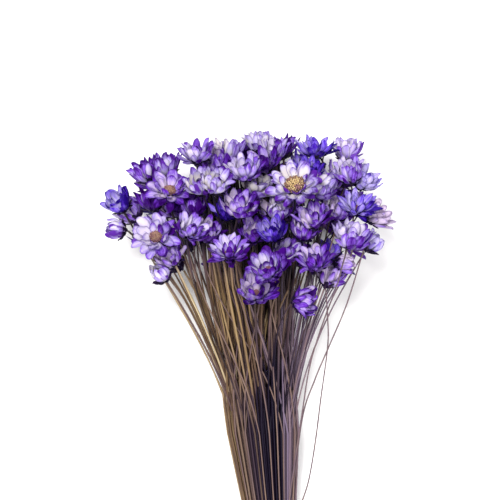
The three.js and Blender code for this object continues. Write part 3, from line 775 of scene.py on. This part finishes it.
for row in range(len(FRONT_ROWS) + BACK_HEADS):
    own = [head for head in heads if head.row == row]
    dyes = list(dict.fromkeys(head.dye for head in own))
    bloom = Piece()
    for head in own:
        dress_head(bloom, head, dyes.index(head.dye), len(dyes), len(dyes) + 1)
    materials = [petal_materials[dye] for dye in dyes] + [scale_material, floret_material]
    made = bloom.made(f"daisy_{row + 1:02d}", materials)
    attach(made, "root")
    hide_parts(f"bloom_{row + 1:02d}")


# The stems
# Thin wiry stalks cut to one length, dried hard. Each runs up from its cut end, through the tie, and fans
# out to its head. Dye has run down them from the heads, and the older ones have browned. Up under the
# heads they are painted darker still, as painted shade.

TIE_HALF = 2.8
LEAVE_AT = -84
NECK_AT = -34
FANNING_FROM = NECK_AT - 40  # the heads' stems fan out as if from here
OUTERMOST = 0.92  # how far out in the bundle a head's stem lies at most
HEAD_STEM_OUTER = 1.1  # and how much further out it runs on, past where the others bend off
FOLLOW = 0.3  # how far a stem runs on in line with the bundle, of its way from there to its head
FOLLOW_LESS = 0.12  # and how far those do that fill the bundle inside its left skin
LEFT_SKIN = -0.6
FILLED_OUT = 0.93
RIGHT_THICK = 0.6
STEM_COUNT = 360
STEM_SIDES = 6
INNER_FROM, INNER_TO = -31, 21  # the heads that the stems without a head of their own go to
PARTING = 0.3  # from here on they go to the middle or to the heads on the right, which opens the bundle there
CLUMPING = 3  # the stems go to every third of these, so that they part in clumps
SLIPPED = 0.12
DARK_STEMS = 0.48  # the share of stems that have browned darkest
DARK_TONES = (0.05, 0.25)
USUAL_TONES = (0.34, 0.58)
PALE_STEMS = 0.07  # and the share of those that stayed pale
PALE_TONES = (0.54, 0.66)

# How the stems change across the bundle, from its left side (-1) to its right (1): how much paler they are,
# how much darker they grow towards their lower end, and how much dye they hold all along.
PALER_ACROSS = ([-1, -0.6, -0.4, 0, 0.5, 1], [0.2, 0.14, -0.12, -0.1, -0.09, -0.02])
DARKER_LOW_ACROSS = ([-0.75, -0.5, -0.35, 0.4, 0.55], [0, 0.7, 1.05, 1, 0])
HELD_ACROSS = ([-0.95, -0.7, 0.1, 0.3, 0.5], [-0.3, -0.1, 0, 0.5, 0.55])
DARKENING_LENGTH = 45  # how far down from the neck they grow ever darker
NECK_PALER = 0.1
WASHED_FROM = 0.5  # from here to the right they have a light even wash instead
WASH = 0.48
WASHED_NECK_PALER = -0.12
SHADE_UNDER_HEADS = ([NECK_AT + 8, NECK_AT + 28], [0, 0.9])  # and painted shade: how much darker they are up under their heads
EDGE_HEADS_FROM = 30
EDGE_HEADS_SHARE = 0.45  # of which those of the heads at the right edge have less
CROSSING_THICK = 0.55
CROSSING_TONES = (0.3, 0.46)
CROSSING_WASH = 0.2
CROSSING = [  # where it lies in the tie, and where the head is that it goes to
    (0.15, -8.4, -10.4), (0.8, 5, -18), (-0.45, 2, -26), (-0.1, -24, -2),
    (0.5, -16, -1), (-0.7, 0, -3), (0.35, 15, -9),
]
STRAGGLER_THICK = 0.55
STRAGGLER_TONE = 0.3
STRAGGLER_WASH = 0.3
STRAGGLERS = [
    [
        (15, -128, 14), (17, -112, 17), (21, -78, 27), (26, -62, 33),
        (32, -47.5, 38), (38.5, -31.5, 44), (45, -10, 50),
    ],
    [
        (14, -128, 18), (16, -110, 21), (21, -75, 31), (24.5, -54, 37),
        (32, -31, 44), (38, -19, 48), (41, -8, 50),
    ],
    [
        (15.5, -150, 10), (17.4, -124, 12), (20.8, -113, 15), (23.8, -103, 19),
        (26.4, -87, 24), (28.4, -70, 30), (31, -49, 38), (31, -38, 42), (30, -25, 46),
    ],
]
PASSING = 2.4
SEAT_GAP = 0.3
WAIST = 0.93
BUNDLE = SimpleNamespace(
    height=10.26, half_width=11.4, half_depth=10, lean=-0.085, rise=0.2, widen=0.135, deepen=0.09, spread=0.06
)


def bundle_at(along):
    up = max(0, along - TIE_AT - TIE_HALF)
    down = max(0, TIE_AT - TIE_HALF - along)
    return (
        TIE_ACROSS + BUNDLE.lean * (up - 0.4 * down),
        BUNDLE.height + BUNDLE.rise * up,
        BUNDLE.half_width + BUNDLE.widen * up + BUNDLE.spread * down,
        BUNDLE.half_depth + BUNDLE.deepen * up,
    )


def in_bundle(along, u, v):
    across, height, half_width, half_depth = bundle_at(along)
    return np.array([across + u * half_width, along, height + v * half_depth])


def stem_place(head):
    """Where a head's stem lies in the bundle: the further out the head, the nearer to the bundle's skin."""
    out = np.array(head.base) - in_bundle(FANNING_FROM, 0, 0)
    aside = np.array([out[0] - BUNDLE.lean * out[1], out[2] - BUNDLE.rise * out[1]])
    length = np.linalg.norm(aside)
    return aside / length * min(OUTERMOST, math.sqrt(length / np.linalg.norm(out)))


def stem_curve(start, top, end, span, follow=FOLLOW, outer=1.0):
    """The smooth curve from where a stem leaves the bundle to its top, which it reaches along end."""
    controls = [
        in_bundle(LEAVE_AT, *start),
        in_bundle(LEAVE_AT + follow * span, *(start * outer)),
        top - end * 0.32 * span,
        top,
    ]
    t = np.linspace(0, 1, 19)[:, None]
    weights = [(1 - t) ** 3, 3 * t * (1 - t) ** 2, 3 * t * t * (1 - t), t**3]
    return sum(w * c for w, c in zip(weights, controls))


head_middles = np.array([head.middle for head in heads])
head_axes = np.array([head.axis for head in heads])
head_rooms = np.array([head.form.room for head in heads]) + PASSING


def bent_clear(points, own):
    """Bends a stem round the heads that it passes."""
    others = np.arange(len(heads)) != own
    middles, axes, rooms = head_middles[others], head_axes[others], head_rooms[others]
    for _ in range(40):
        inside = points[1:-1]
        inside += 0.1 * ((points[:-2] + points[2:]) / 2 - inside)
        away = inside[:, None, :] - middles[None]
        along = np.einsum("pha,ha->ph", away, axes)
        aside = away - along[..., None] * axes[None]
        wide = np.linalg.norm(aside, axis=-1)
        depth = np.hypot(wide / rooms[:, 0], along / rooms[:, 1])
        push = np.clip(1 - depth, 0, 1) * (rooms[:, 0] - PASSING) * 0.4 / np.maximum(wide, 1e-6)
        inside += (aside * push[..., None]).sum(axis=1)
    return points


def stem_tube(piece, points, thick, tone, fade, draw):
    """A slim tube through the points, closed at both ends."""
    way = np.gradient(points, axis=0)
    way /= np.linalg.norm(way, axis=1)[:, None]
    side = np.cross(np.array([0.0, 0.0, 1.0]), way)
    side /= np.linalg.norm(side, axis=1)[:, None]
    rise = np.cross(way, side)
    count = len(points)
    angles = math.tau * np.arange(STEM_SIDES) / STEM_SIDES + draw.random()
    radius = thick / 2 * (1 + 0.07 * np.array([draw.gauss(0, 1) for _ in range(count)]))
    ring = np.cos(angles)[None, :, None] * side[:, None] + np.sin(angles)[None, :, None] * rise[:, None]
    tube = (points[:, None] + ring * radius[:, None, None]).reshape(-1, 3)
    faces = []
    for i in range(count - 1):
        for s in range(STEM_SIDES):
            a, b = i * STEM_SIDES + s, i * STEM_SIDES + (s + 1) % STEM_SIDES
            faces.append([a, b, b + STEM_SIDES, a + STEM_SIDES])
    faces.append(list(range(STEM_SIDES))[::-1])
    faces.append([(count - 1) * STEM_SIDES + s for s in range(STEM_SIDES)])
    pattern = np.empty((len(tube), 4))
    pattern[:, 0] = np.tile(np.arange(STEM_SIDES) / STEM_SIDES, count)
    pattern[:, 1] = np.repeat((points[:, 1] - STEM_END) / (NECK_AT - STEM_END), STEM_SIDES)
    pattern[:, 2] = np.repeat(np.broadcast_to(tone, count), STEM_SIDES)
    pattern[:, 3] = np.repeat(np.broadcast_to(fade, count), STEM_SIDES)
    piece.add(tube, faces, 0, pattern)


def whole_stem(start, curve, draw):
    """Adds the foot of a stem below the curve, from its cut end through the tie, with a slow wander."""
    cut = STEM_END + draw.uniform(0, 2.2)
    turn = draw.gauss(0, 0.16)
    u, v = start
    low_u, low_v = u * math.cos(turn) - v * math.sin(turn), u * math.sin(turn) + v * math.cos(turn)
    foot = []
    for along in np.linspace(cut, TIE_AT - TIE_HALF - 2, 6):
        share = (along - cut) / (TIE_AT - cut)
        foot.append(in_bundle(along, low_u + (u - low_u) * share, low_v + (v - low_v) * share))
    for along in (TIE_AT, TIE_AT + TIE_HALF, TIE_AT + 12, TIE_AT + 24):
        foot.append(in_bundle(along, *start))
    return np.concatenate([foot, curve])


def through(places, steps=10):
    """A smooth curve through the places."""
    points = np.array([places[0], *places, places[-1]], float)
    curve = []
    for i in range(1, len(points) - 2):
        before, a, b, after = points[i - 1 : i + 3]
        for t in np.linspace(0, 1, steps, endpoint=i == len(points) - 3):
            curve.append(
                0.5 * (2 * a + (b - before) * t + (2 * before - 5 * a + 4 * b - after) * t**2)
                + 0.5 * (3 * a - before - 3 * b + after) * t**3
            )
    return np.array(curve)


def dried_stem():
    """Dried stalk: ochre straw, finely ribbed along it, matt, with dye washed over it or darkening it, and
    painted shade up under the heads.
    """
    material = new_material("dried_flower_stalk")
    place = add_node(material, "ShaderNodeUVMap", uv_map="grain").outputs["UV"]
    around, along = add_node(material, "ShaderNodeSeparateXYZ", {"Vector": place}).outputs[:2]
    tone = add_node(material, "ShaderNodeAttribute", attribute_name="tone").outputs["Fac"]
    stain = add_node(material, "ShaderNodeAttribute", attribute_name="fade").outputs["Fac"]
    wash = add_node(
        material, "ShaderNodeMath", {0: stain, 1: -1}, operation="MULTIPLY", use_clamp=True
    ).outputs[0]
    stain = add_node(material, "ShaderNodeClamp", {"Value": stain}).outputs["Result"]
    grain_place = add_node(material, "ShaderNodeCombineXYZ", {"X": around, "Y": along, "Z": tone}).outputs[0]
    grain_place = add_node(
        material, "ShaderNodeVectorMath", {0: grain_place, 1: (5, 9, 60)}, operation="MULTIPLY"
    ).outputs[0]
    grain = add_node(
        material, "ShaderNodeTexNoise", {"Vector": grain_place, "Scale": 1, "Detail": 4, "Roughness": 0.65}
    ).outputs["Fac"]
    shade = add_node(
        material, "ShaderNodeMath", {0: grain, 1: 0.7, 2: -0.35}, operation="MULTIPLY_ADD"
    ).outputs[0]
    shade = add_node(material, "ShaderNodeMath", {0: shade, 1: tone}, operation="ADD").outputs[0]
    straw = add_node(
        material,
        "ShaderNodeValToRGB",
        {"Fac": shade},
        stops=[(0, "#180f0e"), (0.3, "#523c2f"), (0.6, "#8f7550"), (1, "#cbbb9a")],
    ).outputs["Color"]
    stained = add_node(
        material,
        "ShaderNodeValToRGB",
        {"Fac": stain},
        stops=[(0.4, "#5e4a56"), (0.8, "#190b26"), (1, "#10061c")],
    ).outputs["Color"]
    colour = add_node(
        material, "ShaderNodeMixRGB", {"Fac": wash, "Color1": straw, "Color2": linear("#84728c")}
    ).outputs["Color"]
    colour = add_node(
        material, "ShaderNodeMixRGB", {"Fac": stain, "Color1": colour, "Color2": stained}
    ).outputs["Color"]
    bump = add_node(
        material, "ShaderNodeBump", {"Height": grain, "Strength": 0.5, "Distance": 0.15 * MM}
    ).outputs["Normal"]
    stalk = add_node(
        material,
        "ShaderNodeBsdfPrincipled",
        {"Base Color": colour, "Roughness": 0.55, "Specular IOR Level": 0.2, "Normal": bump},
    ).outputs[0]
    add_node(material, "ShaderNodeOutputMaterial", {"Surface": stalk})
    return material


def top_direction(head, start):
    """The way that a stem comes up to its head, between the straight way and the head's own axis."""
    chord = np.array(head.base) - in_bundle(FANNING_FROM, *start)
    chord /= np.linalg.norm(chord)
    end = chord + 0.45 * (np.array(head.axis) - chord)
    return end / np.linalg.norm(end)


def look(start, points, draw):
    """How pale a stem is, and how dark it is along its length: its dye, a darkening towards its lower end, and
    painted shade up under the heads. A light wash counts below nought.
    """
    kind = draw.random()
    pale = draw.uniform(*DARK_TONES) if kind < DARK_STEMS else draw.uniform(*USUAL_TONES)
    if kind > 1 - PALE_STEMS:
        pale = draw.uniform(*PALE_TONES)
    u = start[0]
    washed = u > WASHED_FROM
    down = np.clip((NECK_AT - points[:, 1]) / DARKENING_LENGTH, 0, 1)
    pale += np.interp(u, *PALER_ACROSS)
    pale = pale + (WASHED_NECK_PALER if washed else NECK_PALER) * (1 - down)

    # Darker towards the lower end, most in the middle of the bundle.
    darker_low = draw.uniform(0.55, 1.15) * np.interp(u, *DARKER_LOW_ACROSS)
    spread = draw.gauss(0, 0.17)
    held = np.interp(u, *HELD_ACROSS) + spread
    share = EDGE_HEADS_SHARE if points[-1, 0] > EDGE_HEADS_FROM else 1
    # Painted shade: darker up under the heads.
    shade_under_heads = np.interp(points[:, 1], *SHADE_UNDER_HEADS) * share
    if washed:
        return pale, shade_under_heads - WASH + 0.4 * spread
    return pale, np.maximum(0, held + darker_low * down) + shade_under_heads


bundle = Piece()
stem_draw = random.Random(7)
head_starts = [stem_place(head) for head in heads]
for k, (head, start) in enumerate(zip(heads, head_starts)):
    base = np.array(head.base)
    reach = np.linalg.norm(base - in_bundle(LEAVE_AT, *start))
    end = top_direction(head, start)
    curve = bent_clear(stem_curve(start, base - end * SEAT_GAP, end, reach, outer=HEAD_STEM_OUTER), k)
    points = whole_stem(start, curve, stem_draw)
    thick = RIGHT_THICK if head.middle.x > INNER_TO else stem_draw.uniform(0.7, 0.95)
    stem_tube(bundle, points, thick, *look(start, points, stem_draw), stem_draw)

# The others fill the bundle between them. Each ends hidden behind one of the inner heads, mostly the one
# whose own stem runs nearest, and a few have slipped across the rest.
inner = [k for k, head in enumerate(heads) if INNER_FROM < head.middle.x < INNER_TO][::CLUMPING]
right = [k for k, head in enumerate(heads) if INNER_TO < head.middle.x < 40]
central = [k for k, head in enumerate(heads) if -12 < head.middle.x < 12 and head.middle.y > -12]
upper_right = [k for k, head in enumerate(heads) if 14 < head.middle.x < 30 and head.middle.y > 4]
fillers = STEM_COUNT - len(heads)
for k in range(fillers):
    share = FILLED_OUT * math.sqrt((k + 0.5) / fillers)
    angle = math.radians(k * GOLDEN_ANGLE)
    start = np.array([share * math.cos(angle), share * math.sin(angle)])
    group = inner
    if start[0] > PARTING:
        group = right if k % 12 == 0 else central
    elif k % 4 == 1:
        group = upper_right if k % 40 == 1 else central
    near = sorted(group, key=lambda i: np.linalg.norm(start - head_starts[i]))
    head = heads[near[stem_draw.randrange(len(near) if stem_draw.random() < SLIPPED else 4)]]
    hidden = np.array([stem_draw.gauss(0, 2.5), stem_draw.uniform(-1, 8), -stem_draw.uniform(2, 14)])
    top = np.array(head.base) + hidden
    reach = np.linalg.norm(top - in_bundle(LEAVE_AT, *start))
    follow = FOLLOW if start[0] < LEFT_SKIN else FOLLOW_LESS
    curve = bent_clear(stem_curve(start, top, top_direction(head, start), reach, follow), -1)
    thick = stem_draw.uniform(0.65, 0.95)
    points = whole_stem(start, curve, stem_draw)
    stem_tube(bundle, points, thick, *look(start, points, stem_draw), stem_draw)

# Some thin ones have slipped across the front.
for u, across, along in CROSSING:
    start = np.array([u, 0.97 * math.sqrt(1 - u * u)])
    front = heads[: -BACK_HEADS]
    head = min(front, key=lambda head: math.hypot(head.middle.x - across, head.middle.y - along))
    hidden = np.array([stem_draw.gauss(0, 2), stem_draw.uniform(-1, 3), -stem_draw.uniform(1, 4)])
    top = np.array(head.base) + hidden
    reach = np.linalg.norm(top - in_bundle(LEAVE_AT, *start))
    curve = bent_clear(stem_curve(start, top, top_direction(head, start), reach), -1)
    points = whole_stem(start, curve, stem_draw)
    stem_tube(bundle, points, CROSSING_THICK, stem_draw.uniform(*CROSSING_TONES), -CROSSING_WASH, stem_draw)

# Three have sprung out of the right of the bundle.
for route in STRAGGLERS:
    points = through(route)
    stem_tube(bundle, points, STRAGGLER_THICK, STRAGGLER_TONE, -STRAGGLER_WASH, stem_draw)

stalks = bundle.made("dried_stalks", [dried_stem()])
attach(stalks, "root")
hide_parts("stems")


# The twine
# Natural jute string laid from three yarns, wound three times round the stems, pulled tight and knotted on
# the front with two cut tails. Loose fibres stand out of it all over.

TWINE_THICK = 1.7
TWINE_TURNS = 3
TURN_STEP = 1.5
YARNS = 3
YARN_SIDES = 6
LAY = 5.2  # the length in which a yarn goes once round the string
FIBRES = 260


def yarns_along(piece, points, thick, draw):
    """Three yarns twisted together along the points."""
    lengths = np.concatenate([[0], np.cumsum(np.linalg.norm(np.diff(points, axis=0), axis=1))])
    count = max(12, int(lengths[-1] / 0.45))
    at = np.linspace(0, lengths[-1], count)
    path = np.stack([np.interp(at, lengths, points[:, i]) for i in range(3)], axis=1)
    way = np.gradient(path, axis=0)
    way /= np.linalg.norm(way, axis=1)[:, None]

    # The frame is carried along the path, so that nothing twists but the yarns.
    side = np.empty_like(way)
    previous = np.cross(way[0], [0.31, 0.64, 0.7])
    for i in range(count):
        previous = previous - way[i] * (previous @ way[i])
        previous /= np.linalg.norm(previous)
        side[i] = previous
    rise = np.cross(way, side)
    yarn = thick * 0.29
    angles = math.tau * np.arange(YARN_SIDES) / YARN_SIDES
    for y in range(YARNS):
        turn = math.tau * (at / LAY + y / YARNS)
        middle = path + (np.cos(turn)[:, None] * side + np.sin(turn)[:, None] * rise) * thick * 0.235
        radius = yarn * (1 + 0.08 * np.array([draw.gauss(0, 1) for _ in range(count)]))
        ring = np.cos(angles)[None, :, None] * side[:, None] + np.sin(angles)[None, :, None] * rise[:, None]
        tube = (middle[:, None] + ring * radius[:, None, None]).reshape(-1, 3)
        faces = []
        for i in range(count - 1):
            for s in range(YARN_SIDES):
                a, b = i * YARN_SIDES + s, i * YARN_SIDES + (s + 1) % YARN_SIDES
                faces.append([a, b, b + YARN_SIDES, a + YARN_SIDES])
        faces.append(list(range(YARN_SIDES))[::-1])
        faces.append([(count - 1) * YARN_SIDES + s for s in range(YARN_SIDES)])
        pattern = np.empty((len(tube), 4))
        pattern[:, 0] = np.tile(np.arange(YARN_SIDES) / YARN_SIDES, count)
        pattern[:, 1] = np.repeat(at / 10, YARN_SIDES)
        pattern[:, 2] = y / YARNS
        pattern[:, 3] = 0
        piece.add(tube, faces, 0, pattern)
    return path


def add_fibre(piece, root, direction, long, draw):
    """A loose fibre: a tapered three-sided whisker that curls over."""
    side = np.cross(direction, [draw.gauss(0, 1) for _ in range(3)])
    side /= np.linalg.norm(side)
    points = []
    for i, width in enumerate((0.05, 0.045, 0.035)):
        share = i / 3
        middle = root + direction * long * share + side * long * 0.5 * share**2
        for s in range(3):
            a = math.tau * s / 3
            points.append(middle + width * (math.cos(a) * side + math.sin(a) * np.cross(direction, side)))
    points.append(root + direction * long + side * long * 0.5)
    faces = [[2, 1, 0]]
    for i in range(2):
        for s in range(3):
            a, b = i * 3 + s, i * 3 + (s + 1) % 3
            faces.append([a, b, b + 3, a + 3])
    faces += [[6 + s, 6 + (s + 1) % 3, 9] for s in range(3)]
    pattern = np.tile([0.5, draw.random(), 0.9, 0], (len(points), 1))
    piece.add(np.array(points), faces, 0, pattern)


def jute():
    """Jute: pale tan bast fibre, matt and slightly hairy, streaked along each yarn."""
    material = new_material("jute_twine")
    place = add_node(material, "ShaderNodeUVMap", uv_map="grain").outputs["UV"]
    across, along = add_node(material, "ShaderNodeSeparateXYZ", {"Vector": place}).outputs[:2]
    tone = add_node(material, "ShaderNodeAttribute", attribute_name="tone").outputs["Fac"]
    fibre_place = add_node(material, "ShaderNodeCombineXYZ", {"X": across, "Y": along, "Z": tone}).outputs[0]
    fibre_place = add_node(
        material, "ShaderNodeVectorMath", {0: fibre_place, 1: (9, 6, 30)}, operation="MULTIPLY"
    ).outputs[0]
    fibres = add_node(
        material, "ShaderNodeTexNoise", {"Vector": fibre_place, "Scale": 1, "Detail": 4, "Roughness": 0.7}
    ).outputs["Fac"]
    colour = add_node(
        material,
        "ShaderNodeValToRGB",
        {"Fac": fibres},
        stops=[(0.28, "#715832"), (0.5, "#a28553"), (0.75, "#c4af85")],
    ).outputs["Color"]
    bump = add_node(
        material, "ShaderNodeBump", {"Height": fibres, "Strength": 0.7, "Distance": 0.2 * MM}
    ).outputs["Normal"]
    bast = add_node(
        material,
        "ShaderNodeBsdfPrincipled",
        {"Base Color": colour, "Roughness": 0.85, "Sheen Weight": 0.2, "Normal": bump},
    ).outputs[0]
    add_node(material, "ShaderNodeOutputMaterial", {"Surface": bast})
    return material


tie_across, tie_height, tie_wide, tie_deep = bundle_at(TIE_AT)
clear = SEAT_GAP + 0.3 * TWINE_THICK
tie_wide, tie_deep = WAIST * tie_wide + clear, WAIST * tie_deep + clear
winding = []
for angle in np.linspace(-0.5 * math.pi, math.tau * TWINE_TURNS - 0.5 * math.pi, 96 * TWINE_TURNS):
    turns = (angle + 0.5 * math.pi) / math.tau
    along = TIE_AT + (turns - TWINE_TURNS / 2) * TURN_STEP
    winding.append((tie_across + tie_wide * math.cos(angle), along, tie_height + tie_deep * math.sin(angle)))
knot_at = np.array([tie_across, TIE_AT, tie_height + tie_deep])
KNOT_CORDS = [
    (TWINE_THICK, [(-0.6, -2.7, -0.1), (-0.5, -1.6, 1.2), (0.5, 1.6, 1.2), (0.6, 2.7, -0.1)]),
    (TWINE_THICK * 0.8, [(-1.2, 0.8, 1.2), (1.6, 0.3, 2), (3.4, -4, 1), (3.8, -9, 0.7), (3, -13, 0.9)]),
    (TWINE_THICK * 0.8, [(1.2, -0.8, 1.2), (-1.6, 0.6, 2), (-3.6, 4, 1), (-3.4, 8.4, 0.9)]),
]
string = Piece()
twine_draw = random.Random(23)
paths = [(yarns_along(string, np.array(winding), TWINE_THICK, twine_draw), tie_height)]
for thick, places in KNOT_CORDS:
    paths.append((yarns_along(string, through(places) + knot_at, thick, twine_draw), knot_at[2] - 4))
for k in range(FIBRES):
    path, inner_height = paths[0] if k % 3 else paths[twine_draw.randrange(1, len(paths))]
    root = path[twine_draw.randrange(len(path))]
    outward = np.array([root[0] - tie_across, twine_draw.gauss(0, 4), root[2] - inner_height])
    outward = outward + np.array([twine_draw.gauss(0, 3) for _ in range(3)])
    outward /= np.linalg.norm(outward)
    add_fibre(string, root + outward * TWINE_THICK * 0.3, outward, twine_draw.uniform(0.9, 2.4), twine_draw)
twine = string.made("jute_tie", [jute()])
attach(twine, "root")
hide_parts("twine")


# The table top
# A smooth board painted off-white, with the faintest mottle of a rolled matt finish.
def painted_board():
    material = new_material("rolled_matt_paint")
    spot = add_node(material, "ShaderNodeTexCoord").outputs["Object"]
    mottle = add_node(
        material, "ShaderNodeTexNoise", {"Vector": spot, "Scale": 30, "Detail": 3}
    ).outputs["Fac"]
    colour = add_node(
        material, "ShaderNodeValToRGB", {"Fac": mottle}, stops=[(0.3, "#f1efef"), (0.7, "#f7f6f5")]
    ).outputs["Color"]
    paint = add_node(
        material, "ShaderNodeBsdfPrincipled", {"Base Color": colour, "Roughness": 0.7}
    ).outputs[0]
    add_node(material, "ShaderNodeOutputMaterial", {"Surface": paint})
    return material


TABLE_HALF = 3.0
table_mesh = bpy.data.meshes.new("table_top")
corners = [(-TABLE_HALF, -TABLE_HALF, 0), (TABLE_HALF, -TABLE_HALF, 0), (TABLE_HALF, TABLE_HALF, 0)]
table_mesh.from_pydata(corners + [(-TABLE_HALF, TABLE_HALF, 0)], [], [(0, 1, 2, 3)])
table_mesh.materials.append(painted_board())
table = bpy.data.objects.new("table_top", table_mesh)
bpy.context.scene.collection.objects.link(table)


# Light and camera
# One broad soft lamp high on the left of the heads, a weaker one on the right, and pale light all round.
# The camera looks straight down on the bunch through a long lens, with the heads at the top of the picture.
def soft_lamp(name, place, size, power):
    lamp = bpy.data.lights.new(name, "AREA")
    lamp.shape, lamp.size, lamp.energy = "DISK", size, power
    made = bpy.data.objects.new(name, lamp)
    made.location = place
    made.rotation_euler = (Vector((0, 0.05, 0)) - Vector(place)).to_track_quat("-Z", "Y").to_euler()
    made.visible_camera = False
    bpy.context.scene.collection.objects.link(made)


soft_lamp("main_lamp", (-0.2, 0.36, 1.45), 0.35, 22.5)
soft_lamp("side_lamp", (0.45, -0.3, 1.4), 0.8, 9)
world = bpy.data.worlds.new("studio")
world.use_nodes = True
world.node_tree.nodes["Background"].inputs["Color"].default_value = (1, 1, 1, 1)
world.node_tree.nodes["Background"].inputs["Strength"].default_value = 0.84
bpy.context.scene.world = world
bpy.context.scene.view_settings.view_transform = "Standard"

PICTURE_SIDE = 0.2  # what the square picture takes in at the middle of the dome
PICTURE_AT = (0, -10)  # its middle, in millimetres from the dome's middle
CAMERA_HEIGHT = 1.5
lens = bpy.data.cameras.new("camera")
lens.sensor_width = 36
lens.lens = lens.sensor_width * (CAMERA_HEIGHT - DOME_MIDDLE * MM) / PICTURE_SIDE
lens.clip_start, lens.clip_end = 0.1, 20
camera = bpy.data.objects.new("camera", lens)
camera.location = (bunch_at[0] + PICTURE_AT[0] * MM, bunch_at[1] + PICTURE_AT[1] * MM, CAMERA_HEIGHT)
bpy.context.scene.collection.objects.link(camera)
bpy.context.scene.camera = camera
